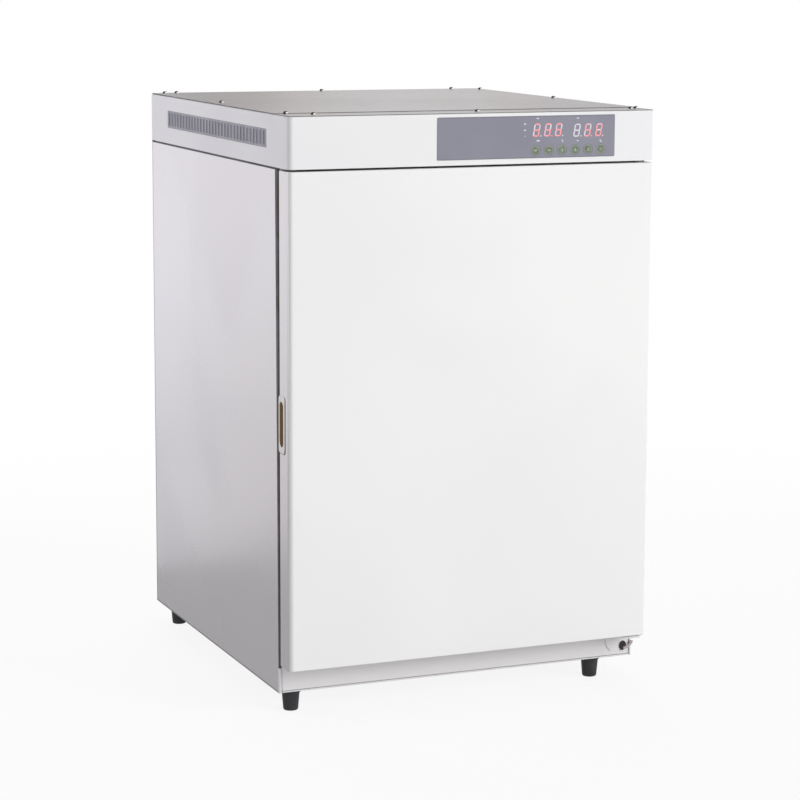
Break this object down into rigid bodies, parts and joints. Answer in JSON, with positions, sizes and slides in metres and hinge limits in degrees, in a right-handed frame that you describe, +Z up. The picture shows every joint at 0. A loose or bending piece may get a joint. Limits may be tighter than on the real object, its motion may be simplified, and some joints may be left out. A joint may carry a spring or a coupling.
{
  "type": "air-jacketed laboratory incubator",
  "caption": "Upright laboratory incubator: steel case on feet, hinged outer and glass inner doors, stainless chamber with shelves, tray and fan, and a control head on top.",
  "frame": {"origin": "on the floor, under the middle of the whole object's box", "axes": "+Z up, the doors face -Y, +X to the right of a person who stands before the doors"},
  "size_m": [0.55, 0.6408, 0.836],
  "materials": {
    "white_enamel": "satin",
    "stainless": "brushed",
    "zinc_steel": "plated",
    "chrome": "polished",
    "black_plastic": "matte",
    "grey_plastic": "matte",
    "white_plastic": "satin",
    "panel_film": "printed film",
    "olive_plastic": "satin",
    "circuit_board": "lacquered",
    "clear_glass": "clear",
    "silicone": "matte",
    "foam": "cellular",
    "mineral_wool": "fibrous",
    "heater_film": "film",
    "black_rubber": "matte",
    "brass": "machined"
  },
  "bodies": {
    "case": {"base_pan": "white_enamel", "side_panel_left": "white_enamel", "side_panel_right": "white_enamel", "back_panel": "white_enamel", "face_frame": "white_enamel", "insulation": "mineral_wool", "chamber_liner": "stainless", "jacket_shell": "zinc_steel", "jacket_heater": "heater_film", "shelf_rack_left": "stainless", "shelf_rack_right": "stainless", "fan_cover": "stainless", "fan_motor": "zinc_steel", "temperature_probe": "stainless", "co2_sensor": "white_plastic", "access_port": "white_plastic", "gas_inlet": "brass", "gas_valve": "brass", "power_inlet": "black_plastic", "glass_pivot_lower": "stainless", "glass_pivot_upper": "stainless", "glass_catch": "grey_plastic", "glass_seal": "silicone", "hinge_lower": "white_enamel", "hinge_upper": "zinc_steel", "head_cowl": "white_enamel", "head_floor": "zinc_steel", "top_plate": "stainless", "vent_grille_left": "grey_plastic", "vent_grille_right": "grey_plastic", "power_supply": "zinc_steel", "control_panel": "panel_film", "display_board": "circuit_board"},
    "outer_door": {"door_skin": "white_enamel", "door_liner": "white_plastic", "door_foam": "foam", "door_gasket": "silicone", "door_pull": "chrome", "door_bush_lower": "white_plastic", "door_bush_upper": "white_plastic"},
    "inner_door": {"glass_door": "clear_glass", "glass_rail": "stainless", "glass_knob": "white_plastic"},
    "lower_shelf": {"shelf_lower": "stainless"},
    "middle_shelf": {"shelf_middle": "stainless"},
    "upper_shelf": {"shelf_upper": "stainless"},
    "tray": {"water_tray": "stainless"},
    "fan": {"fan_wheel": "white_plastic"},
    "stopper": {"port_stopper": "silicone"},
    "rocker": {"power_rocker": "black_plastic"},
    "menu_key": {"key_menu": "olive_plastic"},
    "enter_key": {"key_enter": "olive_plastic"},
    "shift_key": {"key_shift": "olive_plastic"},
    "down_key": {"key_down": "olive_plastic"},
    "up_key": {"key_up": "olive_plastic"},
    "alarm_key": {"key_alarm": "olive_plastic"},
    "front_left_foot": {"foot_front_left": "black_rubber"},
    "front_right_foot": {"foot_front_right": "black_rubber"},
    "rear_left_foot": {"foot_rear_left": "black_rubber"},
    "rear_right_foot": {"foot_rear_right": "black_rubber"}
  },
  "joints": [
    {"name": "outer_door_hinge", "type": "hinge", "parent": "case", "child": "outer_door", "pos_m": [0.26, -0.3031, 0.41575], "axis": [0, 0, 1], "range_deg": [0, 120]},
    {"name": "inner_door_hinge", "type": "hinge", "parent": "case", "child": "inner_door", "pos_m": [0.212, -0.2731, 0.4], "axis": [0, 0, 1], "range_deg": [0, 96]},
    {"name": "lower_shelf_slide", "type": "slide", "parent": "case", "child": "lower_shelf", "axis": [0, -1, 0], "range_m": [0, 0.017]},
    {"name": "middle_shelf_slide", "type": "slide", "parent": "case", "child": "middle_shelf", "axis": [0, -1, 0], "range_m": [0, 0.017]},
    {"name": "upper_shelf_slide", "type": "slide", "parent": "case", "child": "upper_shelf", "axis": [0, -1, 0], "range_m": [0, 0.017]},
    {"name": "tray_slide", "type": "slide", "parent": "case", "child": "tray", "axis": [0, -1, 0], "range_m": [0, 0.017]},
    {"name": "fan_spin", "type": "hinge", "parent": "case", "child": "fan", "pos_m": [0, 0.1364, 0.535], "axis": [0, 1, 0], "continuous": true},
    {"name": "stopper_slide", "type": "slide", "parent": "case", "child": "stopper", "axis": [0, 1, 0], "range_m": [0, 0.034]},
    {"name": "rocker_tilt", "type": "hinge", "parent": "case", "child": "rocker", "pos_m": [0.17, 0.2964, 0.118], "axis": [1, 0, 0], "range_deg": [-18.3, 0]},
    {"name": "menu_press", "type": "slide", "parent": "case", "child": "menu_key", "axis": [0, 1, 0], "range_m": [0, 0.0008], "stiffness_N_per_m": 400},
    {"name": "enter_press", "type": "slide", "parent": "case", "child": "enter_key", "axis": [0, 1, 0], "range_m": [0, 0.0008], "stiffness_N_per_m": 400},
    {"name": "shift_press", "type": "slide", "parent": "case", "child": "shift_key", "axis": [0, 1, 0], "range_m": [0, 0.0008], "stiffness_N_per_m": 400},
    {"name": "down_press", "type": "slide", "parent": "case", "child": "down_key", "axis": [0, 1, 0], "range_m": [0, 0.0008], "stiffness_N_per_m": 400},
    {"name": "up_press", "type": "slide", "parent": "case", "child": "up_key", "axis": [0, 1, 0], "range_m": [0, 0.0008], "stiffness_N_per_m": 400},
    {"name": "alarm_press", "type": "slide", "parent": "case", "child": "alarm_key", "axis": [0, 1, 0], "range_m": [0, 0.0008], "stiffness_N_per_m": 400},
    {"name": "front_left_foot_turn", "type": "hinge", "parent": "case", "child": "front_left_foot", "pos_m": [-0.251, -0.2576, 0], "axis": [0, 0, 1], "range_deg": [-180, 180]},
    {"name": "front_right_foot_turn", "type": "hinge", "parent": "case", "child": "front_right_foot", "pos_m": [0.217, -0.2576, 0], "axis": [0, 0, 1], "range_deg": [-180, 180]},
    {"name": "rear_left_foot_turn", "type": "hinge", "parent": "case", "child": "rear_left_foot", "pos_m": [-0.251, 0.2604, 0], "axis": [0, 0, 1], "range_deg": [-180, 180]},
    {"name": "rear_right_foot_turn", "type": "hinge", "parent": "case", "child": "rear_right_foot", "pos_m": [0.251, 0.2604, 0], "axis": [0, 0, 1], "range_deg": [-180, 180]}
  ],
  "couplings": [
    {"joint": "inner_door_hinge", "follows": "outer_door_hinge", "ratio": 0.8}
  ]
}
